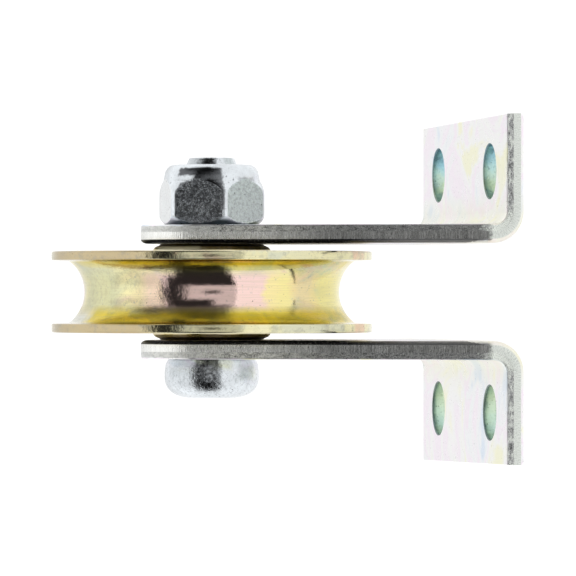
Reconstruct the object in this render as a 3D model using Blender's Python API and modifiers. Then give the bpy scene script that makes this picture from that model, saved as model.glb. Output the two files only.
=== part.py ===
"""Wire rope pulley: a grooved wheel on a ball bearing, clamped between two folded
foot brackets by a round-headed bolt and a lock nut.

The pulley stands on its two feet.  Metres, +Z up.  The origin is the middle of the
mounting plane, +X runs along the bolt towards the nut, +Z from the mounting plane
to the wheel.
"""
import math

import bmesh
import bpy
from mathutils import Matrix, Vector

MM = 0.001

# ---------------------------------------------------------------- driving sizes (mm)
AXIS_Z = 52.0            # bolt axis above the mounting plane
GAP = 0.3                # clearance kept between pieces that touch

WHEEL_R = 30.0
WHEEL_HALF = 7.6         # half the wheel's width
GROOVE_R = 23.9          # radius at the bottom of the rope groove
GROOVE_ARC = 7.3         # radius of the groove's section
RIM_IN = 5.9             # rim's inner face, from the mid-plane
SEAT_R = 16.0            # bearing seat
SHOULDER_R = 14.5

SHEET = 3.5              # bracket plate thickness
ARM_IN = 9.0             # arm's inner face, from the mid-plane
ARM_OUT = ARM_IN + SHEET
ARM_END_R = 13.3
FOOT_W = 67.0
FOOT_END = 32.3          # free edge of a foot, from the mid-plane
FOOT_SKEW = 0.5          # the free edge is cut out of square by this each way
BEND_R = 5.8             # outer radius of the fold
FLARE_Z = 7.0            # where the arm reaches the foot's full width
FOOT_HOLE_R = 5.0
FOOT_HOLE_PITCH = 41.0
FOOT_HOLE_X = 22.4
BOLT_HOLE_R = 6.2

BOLT_R = 5.9
THREAD_R = 5.25          # core of the threaded end inside the nut
NUT_BORE_R = 5.55
NUT_AF = 18.0
NUT_H = 11.3
HEAD_H = 7.3
BOLT_TIP = 25.1

BALLS = 7
BALL_R = 2.9
RACE_R = 3.2
PITCH_R = 11.0
RING_HALF = 4.85

# ---------------------------------------------------------------- scene and helpers
for old in list(bpy.data.objects):
    bpy.data.objects.remove(old, do_unlink=True)

PARTS = bpy.data.collections.new("wire_rope_pulley")
CUTTERS = bpy.data.collections.new("cutters")
bpy.context.scene.collection.children.link(PARTS)
bpy.context.scene.collection.children.link(CUTTERS)


def material(name, colour, rough, metal):
    m = bpy.data.materials.new(name)
    m.use_nodes = True
    p = m.node_tree.nodes["Principled BSDF"]
    p.inputs["Base Color"].default_value = (*colour, 1.0)
    p.inputs["Roughness"].default_value = rough
    p.inputs["Metallic"].default_value = metal
    m.diffuse_color = (*colour, 1.0)
    return m


ZINC = (0.74, 0.76, 0.76)
YELLOW = (0.78, 0.64, 0.28)
STEEL = (0.62, 0.63, 0.65)


def link(obj, coll=None, mat=None):
    (coll or PARTS).objects.link(obj)
    if mat:
        obj.data.materials.append(mat)
    return obj


def axis_empty(name):
    """An empty on the bolt axis whose local Z runs along +X."""
    e = bpy.data.objects.new(name, None)
    PARTS.objects.link(e)
    e.location = (0, 0, AXIS_Z * MM)
    e.rotation_euler = (0, math.pi / 2, 0)
    return e


def smooth(obj, angle=32):
    obj.data.shade_smooth()
    obj.data.set_sharp_from_angle(angle=math.radians(angle))


def turned(name, profile, steps, parent, mat, closed=True, coll=None):
    """A turned piece: profile points (r, x) in mm, outer side first, x falling."""
    mesh = bpy.data.meshes.new(name)
    verts = [(r * MM, 0.0, x * MM) for r, x in profile]
    n = len(verts)
    edges = [(i, i + 1) for i in range(n - 1)]
    if closed:
        edges.append((n - 1, 0))
    mesh.from_pydata(verts, edges, [])
    obj = bpy.data.objects.new(name, mesh)
    link(obj, coll, mat)
    obj.parent = parent
    s = obj.modifiers.new("turn", "SCREW")
    s.axis = "Z"
    s.angle = math.tau
    s.steps = steps
    s.render_steps = steps
    s.use_merge_vertices = True
    s.merge_threshold = 0.00001
    s.use_smooth_shade = True
    return obj


def cutter(obj):
    for c in obj.users_collection:
        c.objects.unlink(obj)
    CUTTERS.objects.link(obj)
    obj.hide_render = True
    obj.display_type = "WIRE"
    return obj


def cut(obj, tool, operation="DIFFERENCE"):
    b = obj.modifiers.new(operation.lower(), "BOOLEAN")
    b.operation = operation
    b.solver = "EXACT"
    b.object = tool


def cut_all(obj, coll):
    b = obj.modifiers.new("cut", "BOOLEAN")
    b.operation = "DIFFERENCE"
    b.solver = "EXACT"
    b.operand_type = "COLLECTION"
    b.collection = coll


def arc(cr, cx, rad, a0, a1, n):
    """Points (r, x) on an arc about (cr, cx), angles in degrees from +r."""
    out = []
    for i in range(n + 1):
        a = math.radians(a0 + (a1 - a0) * i / n)
        out.append((cr + rad * math.cos(a), cx + rad * math.sin(a)))
    return out


fixed_axis = axis_empty("fixed_axis")
wheel_axis = axis_empty("wheel_axis")
cage_axis = axis_empty("cage_axis")

# ---------------------------------------------------------------- rope wheel
centre = GROOVE_R + GROOVE_ARC
half_angle = math.degrees(math.asin(5.2 / GROOVE_ARC))
groove = arc(centre, 0.0, GROOVE_ARC, 180 - half_angle, 180 + half_angle, 10)
W = WHEEL_HALF
profile = [(29.7, W), (WHEEL_R, W - 0.35), (WHEEL_R, RIM_IN + 0.25), (29.75, RIM_IN),
           (26.7, RIM_IN - 0.2)]
profile += groove
profile += [(26.7, -RIM_IN + 0.2), (29.75, -RIM_IN), (WHEEL_R, -RIM_IN - 0.25),
            (WHEEL_R, -W + 0.35), (29.7, -W),
            (SHOULDER_R + 0.4, -W), (SHOULDER_R, -W + 0.4), (SHOULDER_R, -RING_HALF - GAP),
            (SEAT_R, -RING_HALF - GAP),
            (SEAT_R, 4.8), (16.9, 4.8), (16.9, 6.5), (SEAT_R, 6.5),
            (SEAT_R, W - 0.5), (SEAT_R + 0.5, W)]
turned("rope_wheel", profile, 64, wheel_axis, material("yellow_zinc_wheel", YELLOW, 0.3, 1.0))

# ---------------------------------------------------------------- ball bearing
race_half = math.degrees(math.acos(1.8 / RACE_R))
outer = [(15.45, RING_HALF), (15.7, RING_HALF - 0.25), (15.7, -RING_HALF + 0.25),
         (15.45, -RING_HALF), (13.9, -RING_HALF), (13.9, -3.95), (12.8, -3.95)]
outer += arc(PITCH_R, 0.0, RACE_R, -race_half, race_half, 6)
outer += [(12.8, 3.95), (13.9, 3.95), (13.9, RING_HALF)]
turned("bearing_outer_ring", outer, 40, wheel_axis, material("bearing_steel_outer", STEEL, 0.2, 1.0))

inner = [(9.0, RING_HALF), (9.2, RING_HALF - 0.2)]
inner += arc(PITCH_R, 0.0, RACE_R, 180 - race_half, 180 + race_half, 6)
inner += [(9.2, -RING_HALF + 0.2), (9.0, -RING_HALF), (BOLT_HOLE_R + 0.25, -RING_HALF),
          (BOLT_HOLE_R, -RING_HALF + 0.25), (BOLT_HOLE_R, RING_HALF - 0.25),
          (BOLT_HOLE_R + 0.25, RING_HALF)]
turned("bearing_inner_ring", inner, 32, fixed_axis, material("bearing_steel_inner", STEEL, 0.2, 1.0))

ball_mesh = bpy.data.meshes.new("bearing_ball")
bm = bmesh.new()
bmesh.ops.create_uvsphere(bm, u_segments=14, v_segments=8, radius=BALL_R * MM)
bm.to_mesh(ball_mesh)
bm.free()
ball_mesh.shade_smooth()
ball_mesh.materials.append(material("bearing_ball_steel", (0.7, 0.7, 0.72), 0.08, 1.0))
pockets = bpy.data.collections.new("cage_pockets")
CUTTERS.children.link(pockets)
for k in range(BALLS):
    a = math.tau * k / BALLS
    spot = (PITCH_R * MM * math.cos(a), PITCH_R * MM * math.sin(a), 0)
    ball = bpy.data.objects.new("bearing_ball_%d" % (k + 1), ball_mesh)
    PARTS.objects.link(ball)
    ball.parent = cage_axis
    ball.location = spot
    tool_mesh = bpy.data.meshes.new("pocket_%d" % (k + 1))
    bm = bmesh.new()
    bmesh.ops.create_uvsphere(bm, u_segments=14, v_segments=8, radius=(BALL_R + 0.35) * MM)
    bm.to_mesh(tool_mesh)
    bm.free()
    tool = bpy.data.objects.new("pocket_%d" % (k + 1), tool_mesh)
    pockets.objects.link(tool)
    tool.parent = cage_axis
    tool.location = spot
    tool.rotation_euler = (0, 0, 0.11)
    tool.hide_render = True
    tool.display_type = "WIRE"

cage = turned("bearing_cage", [(12.2, 1.6), (12.2, -3.75), (9.9, -3.75), (9.9, 1.6)], 42, cage_axis,
              material("cage_polyamide", (0.12, 0.10, 0.07), 0.55, 0.0))
cut_all(cage, pockets)

for side, s in (("nut_side", 1), ("head_side", -1)):
    lo, hi = sorted((s * 4.2, s * 4.6))
    turned("bearing_shield_" + side, [(13.6, hi), (13.6, lo), (9.55, lo), (9.55, hi)], 40,
           wheel_axis, material("shield_steel_" + side, STEEL, 0.35, 1.0))

# retaining ring: a flat ring with a gap between two drilled lugs
ring = turned("retaining_ring", [(16.55, 6.15), (16.55, 5.15), (14.2, 5.15), (14.2, 6.15)], 48,
              wheel_axis, material("spring_steel", (0.18, 0.18, 0.19), 0.35, 1.0))


def block(name, size, at, parent, rot=(0, 0, 0)):
    mesh = bpy.data.meshes.new(name)
    b = bmesh.new()
    bmesh.ops.create_cube(b, size=1.0)
    bmesh.ops.scale(b, vec=Vector([v * MM for v in size]), verts=b.verts)
    b.to_mesh(mesh)
    b.free()
    o = bpy.data.objects.new(name, mesh)
    PARTS.objects.link(o)
    o.parent = parent
    o.location = [v * MM for v in at]
    o.rotation_euler = rot
    return o


def rod(name, r, x0, x1, at, parent, segs=32, rot=0.0):
    """A cylinder along the parent's local Z."""
    mesh = bpy.data.meshes.new(name)
    b = bmesh.new()
    bmesh.ops.create_cone(b, cap_ends=True, segments=segs, radius1=r * MM, radius2=r * MM,
                          depth=(x1 - x0) * MM)
    b.to_mesh(mesh)
    b.free()
    o = bpy.data.objects.new(name, mesh)
    PARTS.objects.link(o)
    o.parent = parent
    o.location = (at[0] * MM, at[1] * MM, (x0 + x1) / 2 * MM)
    o.rotation_euler = (0, 0, rot)
    return o


for k, a in ((1, 12.0), (2, -12.0)):
    t = math.radians(a)
    lug = cutter(rod("ring_lug_%d" % k, 1.75, 5.15, 6.15,
                     (13.75 * math.cos(t), 13.75 * math.sin(t)), wheel_axis, 16))
    cut(ring, lug, "UNION")
cut(ring, cutter(block("ring_gap", (6.0, 2.4, 3.0), (15.0, 0, 5.65), wheel_axis)))
for k, a in ((1, 12.0), (2, -12.0)):
    t = math.radians(a)
    cut(ring, cutter(rod("ring_eye_%d" % k, 0.8, 4.6, 6.7,
                         (13.75 * math.cos(t), 13.75 * math.sin(t)), wheel_axis, 12)))

# ---------------------------------------------------------------- spacer rings
for side, s in (("nut_side", 1), ("head_side", -1)):
    pts = [(9.9, 8.7), (10.6, 8.35), (10.95, 7.9), (11.0, 7.35), (8.8, 7.1), (8.8, 5.15), (BOLT_HOLE_R, 5.15), (BOLT_HOLE_R, 8.7)]
    if s < 0:
        pts = [(r, -x) for r, x in reversed(pts)]
    turned("spacer_ring_" + side, pts, 40, fixed_axis,
           material("yellow_zinc_spacer_" + side, YELLOW, 0.3, 1.0))

# ---------------------------------------------------------------- bolt
H = -ARM_OUT - GAP
bolt = [(0.0, BOLT_TIP), (4.3, BOLT_TIP), (4.95, BOLT_TIP - 0.85), (THREAD_R, BOLT_TIP - 1.15),
        (THREAD_R, 12.9), (BOLT_R, 12.1), (BOLT_R, H), (8.1, H),
        (8.66, H - 0.9), (8.85, H - 2.7), (8.8, H - 3.9), (8.45, H - 5.1), (7.6, H - 6.1),
        (6.4, H - 6.75), (5.1, -ARM_OUT - HEAD_H), (0.0, -ARM_OUT - HEAD_H)]
bolt_obj = turned("pivot_bolt", bolt, 36, fixed_axis, material("zinc_bolt", ZINC, 0.25, 1.0), closed=False)
socket = cutter(rod("bolt_socket", 8.0 / math.sqrt(3), -ARM_OUT - HEAD_H - 1.0,
                    -ARM_OUT - HEAD_H + 3.4, (0, 0), fixed_axis, 6, math.radians(13)))
cut(bolt_obj, socket)

# ---------------------------------------------------------------- lock nut and its insert
N0 = ARM_OUT + GAP
N1 = ARM_OUT + NUT_H
nut = [(6.9, N1), (7.6, N1 - 0.3), (8.4, N1 - 1.05), (8.75, N1 - 1.9), (9.0, N1 - 3.1), (9.7, N1 - 4.0),
       (10.3, N1 - 5.6), (10.42, N1 - 6.7), (10.42, N0 + 1.8), (9.7, N0 + 0.7), (8.7, N0),
       (6.3, N0), (NUT_BORE_R, N0 + 0.6), (NUT_BORE_R, N1 - 3.6), (7.7, N1 - 3.6),
       (7.7, N1 - 0.7), (6.9, N1 - 0.7)]
nut_obj = turned("lock_nut", nut, 48, fixed_axis, material("zinc_nut", ZINC, 0.22, 1.0))
hexagon = cutter(rod("nut_hexagon", NUT_AF / math.sqrt(3), N0 - 1.0, N1 + 1.0, (0, 0), fixed_axis, 6,
                     math.radians(33)))
cut(nut_obj, hexagon, "INTERSECT")
turned("nut_insert", [(7.4, N1 - 1.05), (7.4, N1 - 3.3), (5.6, N1 - 3.3), (5.6, N1 - 1.05)], 30,
       fixed_axis, material("insert_nylon", (0.85, 0.85, 0.82), 0.5, 0.0))

# ---------------------------------------------------------------- brackets


def fold_section():
    """The side view of a folded plate, (x, z): arm up, foot out along +x."""
    c = (ARM_IN + BEND_R, BEND_R)
    r_in = BEND_R - SHEET
    top = AXIS_Z + ARM_END_R + 2.0
    end = FOOT_END + 3.0
    pts = [(ARM_IN, top)]
    for i in range(7):
        a = math.radians(180 + 90 * i / 6)
        pts.append((c[0] + BEND_R * math.cos(a), c[1] + BEND_R * math.sin(a)))
    pts += [(end, 0.0), (end, SHEET)]
    for i in range(7):
        a = math.radians(270 - 90 * i / 6)
        pts.append((c[0] + r_in * math.cos(a), c[1] + r_in * math.sin(a)))
    pts.append((ARM_OUT, top))
    return pts


def flat_curve(name, points, half, matrix):
    """A filled 2D outline extruded by half its thickness each way, made a mesh."""
    cu = bpy.data.curves.new(name, "CURVE")
    cu.dimensions = "2D"
    cu.fill_mode = "BOTH"
    cu.extrude = half * MM
    sp = cu.splines.new("POLY")
    sp.points.add(len(points) - 1)
    for p, (u, v) in zip(sp.points, points):
        p.co = (u * MM, v * MM, 0, 1)
    sp.use_cyclic_u = True
    tmp = bpy.data.objects.new(name + "_curve", cu)
    bpy.context.scene.collection.objects.link(tmp)
    tmp.matrix_world = matrix
    bpy.context.view_layer.update()
    mesh = bpy.data.meshes.new_from_object(tmp.evaluated_get(bpy.context.evaluated_depsgraph_get()))
    b = bmesh.new()
    b.from_mesh(mesh)
    bmesh.ops.remove_doubles(b, verts=b.verts, dist=0.00001)
    bmesh.ops.recalc_face_normals(b, faces=b.faces)
    b.to_mesh(mesh)
    b.free()
    mesh.name = name
    obj = bpy.data.objects.new(name, mesh)
    obj.matrix_world = tmp.matrix_world.copy()
    bpy.data.objects.remove(tmp, do_unlink=True)
    return obj


def arm_outline():
    """The arm seen along the bolt, (y, z): round end, tangents out to the foot's width."""
    hw = FOOT_W / 2
    dz = AXIS_Z - FLARE_Z
    slope = math.atan2(hw, dz) - math.asin(ARM_END_R / math.hypot(hw, dz))
    pts = [(-hw, -2.0), (hw, -2.0), (hw, FLARE_Z)]
    n = 20
    a0, a1 = slope, math.pi - slope
    for i in range(n + 1):
        a = a0 + (a1 - a0) * i / n
        pts.append((ARM_END_R * math.cos(a), AXIS_Z + ARM_END_R * math.sin(a)))
    pts.append((-hw, FLARE_Z))
    return pts


def foot_outline():
    """The whole plate seen from above, (x, y), with the free edge cut out of square."""
    hw = FOOT_W / 2 + 3.0
    k = FOOT_SKEW / (FOOT_W / 2)
    return [(0.0, -hw), (FOOT_END + k * hw, -hw), (FOOT_END - k * hw, hw), (0.0, hw)]


# outline planes: (u, v) -> world
SIDE = Matrix(((1, 0, 0, 0), (0, 0, -1, 0), (0, 1, 0, 0), (0, 0, 0, 1)))      # u=x, v=z, normal -y
ALONG = Matrix(((0, 0, 1, 0), (1, 0, 0, 0), (0, 1, 0, 0), (0, 0, 0, 1)))      # u=y, v=z, normal +x
ABOVE = Matrix(((1, 0, 0, 0), (0, 1, 0, 0), (0, 0, 1, 0), (0, 0, 0, 1)))      # u=x, v=y, normal +z

for side, s in (("nut_side", 1), ("head_side", -1)):
    turn = Matrix.Rotation(0.0 if s > 0 else math.pi, 4, "Z")
    plate = flat_curve("bracket_" + side, fold_section(), FOOT_W / 2, turn @ SIDE)
    link(plate, PARTS)
    plate.data.materials.clear()
    plate.data.materials.append(material("zinc_plate_" + side, ZINC, 0.3, 1.0))
    arm = flat_curve("arm_shape_" + side, arm_outline(), 40.0, turn @ ALONG)
    link(arm, CUTTERS)
    arm.hide_render = True
    arm.display_type = "WIRE"
    foot = flat_curve("foot_shape_" + side, foot_outline(), 90.0, turn @ ABOVE)
    link(foot, CUTTERS)
    foot.hide_render = True
    foot.display_type = "WIRE"
    cut(plate, arm, "INTERSECT")
    cut(plate, foot, "INTERSECT")
    hole = cutter(rod("bolt_hole_" + side, BOLT_HOLE_R, s * 10.75 - 4, s * 10.75 + 4, (0, 0), fixed_axis, 32))
    cut(plate, hole)
    for k, y in ((1, -FOOT_HOLE_PITCH / 2), (2, FOOT_HOLE_PITCH / 2)):
        mesh = bpy.data.meshes.new("foot_hole_%s_%d" % (side, k))
        b = bmesh.new()
        bmesh.ops.create_cone(b, cap_ends=True, segments=28, radius1=FOOT_HOLE_R * MM,
                              radius2=FOOT_HOLE_R * MM, depth=10 * MM)
        b.to_mesh(mesh)
        b.free()
        o = bpy.data.objects.new(mesh.name, mesh)
        CUTTERS.objects.link(o)
        o.hide_render = True
        o.display_type = "WIRE"
        o.location = (s * FOOT_HOLE_X * MM, y * MM, SHEET / 2 * MM)
        cut(plate, o)
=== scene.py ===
import math

import bmesh
import bpy
from mathutils import Matrix, Vector


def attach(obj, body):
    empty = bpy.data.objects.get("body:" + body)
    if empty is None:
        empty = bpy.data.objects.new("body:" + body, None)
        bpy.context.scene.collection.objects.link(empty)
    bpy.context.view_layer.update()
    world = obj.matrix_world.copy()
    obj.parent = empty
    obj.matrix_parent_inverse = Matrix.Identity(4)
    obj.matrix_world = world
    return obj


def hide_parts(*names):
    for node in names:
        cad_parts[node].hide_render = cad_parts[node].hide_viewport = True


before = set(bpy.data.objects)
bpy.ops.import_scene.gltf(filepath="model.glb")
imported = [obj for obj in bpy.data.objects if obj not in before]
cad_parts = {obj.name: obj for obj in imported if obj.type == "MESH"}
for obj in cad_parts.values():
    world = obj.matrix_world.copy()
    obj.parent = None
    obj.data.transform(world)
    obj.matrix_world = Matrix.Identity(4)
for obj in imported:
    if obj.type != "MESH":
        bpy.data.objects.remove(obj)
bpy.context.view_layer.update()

MM = 0.001
AXIS_Z = 52.0
scene = bpy.context.scene

# ------------------------------------------------------------------ camera
# The photograph looks along the rope's run from 11 degrees above the feet's plane,
# turned on its side: the bolt stands upright in the picture, the feet are at the right.
FOCAL_PX = 5895.0
DIST = 1.104
AZ = math.radians(11.2)
AXIS_PX = 211.75
HORIZON_PX = 291.0
MID_LOW = 0.17 * MM       # the camera's height above the part's middle, along the bolt

cam_data = bpy.data.cameras.new("camera")
cam = bpy.data.objects.new("camera", cam_data)
scene.collection.objects.link(cam)
scene.camera = cam
cam_data.sensor_width = 36.0
cam_data.sensor_fit = "HORIZONTAL"
cam_data.lens = FOCAL_PX * 36.0 / 576.0
cam_data.clip_start = 0.05
cam_data.clip_end = 20.0
axis_off = math.atan((AXIS_PX - 288.0) / FOCAL_PX)      # the axis is left of the middle
aim = AZ - axis_off
# photo axes: px = -Z, py = +Y, pz = +X
pos_px, pos_py = -DIST * math.sin(AZ), -DIST * math.cos(AZ)
right = Vector((0.0, -math.sin(aim), -math.cos(aim)))
up = Vector((1.0, 0.0, 0.0))
back = right.cross(up)
cam.matrix_world = Matrix((
    (right.x, up.x, back.x, MID_LOW),
    (right.y, up.y, back.y, pos_py),
    (right.z, up.z, back.z, AXIS_Z * MM - pos_px),
    (0, 0, 0, 1)))
cam_data.shift_y = (HORIZON_PX - 288.0) / 576.0

# ------------------------------------------------------------------ node helpers


class Mat:
    def __init__(self, name):
        self.m = bpy.data.materials.new(name)
        self.m.use_nodes = True
        self.t = self.m.node_tree
        self.p = self.t.nodes["Principled BSDF"]

    def node(self, kind, **kw):
        n = self.t.nodes.new(kind)
        for k, v in kw.items():
            setattr(n, k, v)
        return n

    def put(self, a, b):
        """Connects a (socket) or sets a (number, colour) on socket b."""
        if hasattr(a, "links"):
            self.t.links.new(a, b)
        elif isinstance(a, (int, float)):
            b.default_value = a
        else:
            b.default_value = a if len(a) == len(b.default_value) else (*a, 1.0)

    def coord(self, what="Object"):
        return self.node("ShaderNodeTexCoord").outputs[what]

    def math(self, op, a, b=0.0, c=0.0, clamp=False):
        n = self.node("ShaderNodeMath", operation=op, use_clamp=clamp)
        self.put(a, n.inputs[0])
        self.put(b, n.inputs[1])
        self.put(c, n.inputs[2])
        return n.outputs[0]

    def scaled(self, vec, s, shift=(0, 0, 0)):
        n = self.node("ShaderNodeMapping")
        self.put(vec, n.inputs["Vector"])
        n.inputs["Scale"].default_value = s
        n.inputs["Location"].default_value = shift
        return n.outputs[0]

    def noise(self, vec, scale, detail=3.0, rough=0.55, dist=0.0):
        n = self.node("ShaderNodeTexNoise")
        self.put(vec, n.inputs["Vector"])
        n.inputs["Scale"].default_value = scale
        n.inputs["Detail"].default_value = detail
        n.inputs["Roughness"].default_value = rough
        n.inputs["Distortion"].default_value = dist
        return n.outputs[0]

    def ramp(self, fac, stops, smooth=True):
        n = self.node("ShaderNodeValToRGB")
        r = n.color_ramp
        r.interpolation = "EASE" if smooth else "LINEAR"
        while len(r.elements) < len(stops):
            r.elements.new(0.5)
        for e, (p, c) in zip(r.elements, stops):
            e.position = p
            e.color = (*c, 1.0) if not isinstance(c, (int, float)) else (c, c, c, 1.0)
        self.put(fac, n.inputs[0])
        return n.outputs[0]

    def mix(self, fac, a, b, blend="MIX"):
        n = self.node("ShaderNodeMix", data_type="RGBA", blend_type=blend)
        self.put(fac, n.inputs[0])
        self.put(a, n.inputs[6])
        self.put(b, n.inputs[7])
        return n.outputs[2]

    def remap(self, v, a, b, c, d):
        n = self.node("ShaderNodeMapRange")
        self.put(v, n.inputs[0])
        for i, x in enumerate((a, b, c, d)):
            n.inputs[i + 1].default_value = x
        return n.outputs[0]

    def bump(self, height, strength, dist, normal=None):
        n = self.node("ShaderNodeBump")
        n.inputs["Strength"].default_value = strength
        n.inputs["Distance"].default_value = dist
        self.put(height, n.inputs["Height"])
        if normal is not None:
            self.put(normal, n.inputs["Normal"])
        return n.outputs[0]

    def polar(self):
        """x along the bolt, y and z from the axis, and the radius, in metres."""
        s = self.node("ShaderNodeSeparateXYZ")
        self.put(self.coord(), s.inputs[0])
        x, y = s.outputs[0], s.outputs[1]
        z = self.math("SUBTRACT", s.outputs[2], AXIS_Z * MM)
        r = self.math("SQRT", self.math("ADD", self.math("MULTIPLY", y, y), self.math("MULTIPLY", z, z)))
        return x, y, z, r

    def turned_vector(self, x, y, z, r, kx, kr, ka):
        """A vector that streaks round the axis: fine along x and r, coarse in angle."""
        c = self.node("ShaderNodeCombineXYZ")
        self.put(self.math("ADD", self.math("MULTIPLY", x, kx), self.math("MULTIPLY", r, kr)), c.inputs[0])
        self.put(self.math("MULTIPLY", self.math("DIVIDE", y, r), ka), c.inputs[1])
        self.put(self.math("MULTIPLY", self.math("DIVIDE", z, r), ka), c.inputs[2])
        return c.outputs[0]

    def surface(self, colour, rough, metal=1.0, normal=None):
        self.put(colour, self.p.inputs["Base Color"])
        self.put(rough, self.p.inputs["Roughness"])
        self.p.inputs["Metallic"].default_value = metal
        if normal is not None:
            self.put(normal, self.p.inputs["Normal"])
        return self.m


# ------------------------------------------------------------------ materials


def plate_face():
    m = Mat("zinc_plate_face")
    co = m.coord()
    film = m.noise(m.scaled(co, (1.0, 0.8, 1.3)), 62.0, 3.0, 0.55, 1.2)
    tint = m.ramp(film, [(0.32, (0.78, 0.87, 0.98)), (0.43, (0.97, 0.98, 0.99)), (0.5, (1.0, 0.92, 0.99)),
                         (0.57, (0.99, 0.99, 0.98)), (0.68, (0.99, 0.98, 0.74))])
    # a yellower film in the fold, where the plating pools
    s = m.node("ShaderNodeSeparateXYZ")
    m.put(co, s.inputs[0])
    fold = m.math("MULTIPLY", m.remap(m.math("ABSOLUTE", s.outputs[0]), 0.0125, 0.0185, 1.0, 0.0),
                  m.remap(s.outputs[2], 0.003, 0.011, 1.0, 0.0))
    fold = m.math("MULTIPLY", fold, m.noise(co, 210.0, 2.0), clamp=True)
    tint = m.mix(fold, tint, (0.95, 0.93, 0.66))
    cloud = m.noise(co, 900.0, 4.0, 0.6)
    tint = m.mix(m.remap(cloud, 0.35, 0.7, 0.0, 0.05), tint, (0.66, 0.68, 0.70))
    speck = m.noise(co, 2300.0, 1.0, 0.4)
    tint = m.mix(m.remap(speck, 0.73, 0.78, 0.0, 0.75), tint, (0.10, 0.10, 0.11))
    rough = m.remap(m.noise(co, 300.0, 4.0, 0.6), 0.3, 0.7, 0.24, 0.40)
    fine = m.noise(m.scaled(co, (1.0, 1.0, 1.0)), 1500.0, 3.0, 0.6)
    wave = m.noise(co, 130.0, 2.0)
    n = m.bump(wave, 0.12, 0.0008)
    n = m.bump(fine, 0.16, 0.00010, n)
    return m.surface(tint, rough, 1.0, n)


def edge_sheared(name, dark, light, seed, painted_arm_shade=0.0, metal=1.0):
    """The burnished part of a sheared edge: fine lines across the plate's thickness."""
    m = Mat(name)
    uv = m.coord("UV")
    lines = m.noise(m.scaled(uv, (3.4, 0.16, 1.0), (seed, 0, 0)), 1.0, 3.0, 0.65)
    fine = m.noise(m.scaled(uv, (9.0, 1.3, 1.0), (seed, 3, 0)), 1.0, 2.0, 0.6)
    v = m.math("ADD", m.math("MULTIPLY", lines, 0.65), m.math("MULTIPLY", fine, 0.35))
    col = m.ramp(v, [(0.32, dark), (0.5, tuple((a + b) / 2 for a, b in zip(dark, light))), (0.66, light)])
    if painted_arm_shade:
        # painted shade: the edge is darkened and its lines deepened down the arm, with a painted highlight near the
        # round end
        s = m.node("ShaderNodeSeparateXYZ")
        m.put(m.coord(), s.inputs[0])
        down = m.remap(s.outputs[2], 0.0345, 0.0460, 1.0, 0.0)
        col = m.mix(m.math("MULTIPLY", down, painted_arm_shade), col, (0.10, 0.10, 0.10))
        groove = m.math("MULTIPLY", m.remap(v, 0.40, 0.56, 0.48, 0.0), m.math("MULTIPLY_ADD", down, 0.8, 0.2))
        col = m.mix(groove, col, (0.04, 0.04, 0.04))
        col = m.mix(m.remap(s.outputs[2], 0.0545, 0.0585, 0.0, 0.30), col, (0.97, 0.98, 0.97))
    else:
        # the arm's painted shade runs on to the fold and ends raggedly there
        s = m.node("ShaderNodeSeparateXYZ")
        m.put(m.coord(), s.inputs[0])
        end = m.noise(m.scaled(uv, (1.6, 1.6, 1.0), (seed, 9, 0)), 1.0, 3.0, 0.7)
        end = m.math("ADD", s.outputs[2], m.math("MULTIPLY", m.math("SUBTRACT", end, 0.5), 0.0022))
        col = m.mix(m.remap(end, 0.0061, 0.0066, 0.0, 0.72), col, (0.12, 0.12, 0.12))
    rough = m.remap(fine, 0.3, 0.7, 0.22, 0.34)
    n = m.bump(lines, 0.5, 0.00016)
    n = m.bump(fine, 0.4, 0.00006, n)
    return m.surface(col, rough, metal, n)


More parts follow.
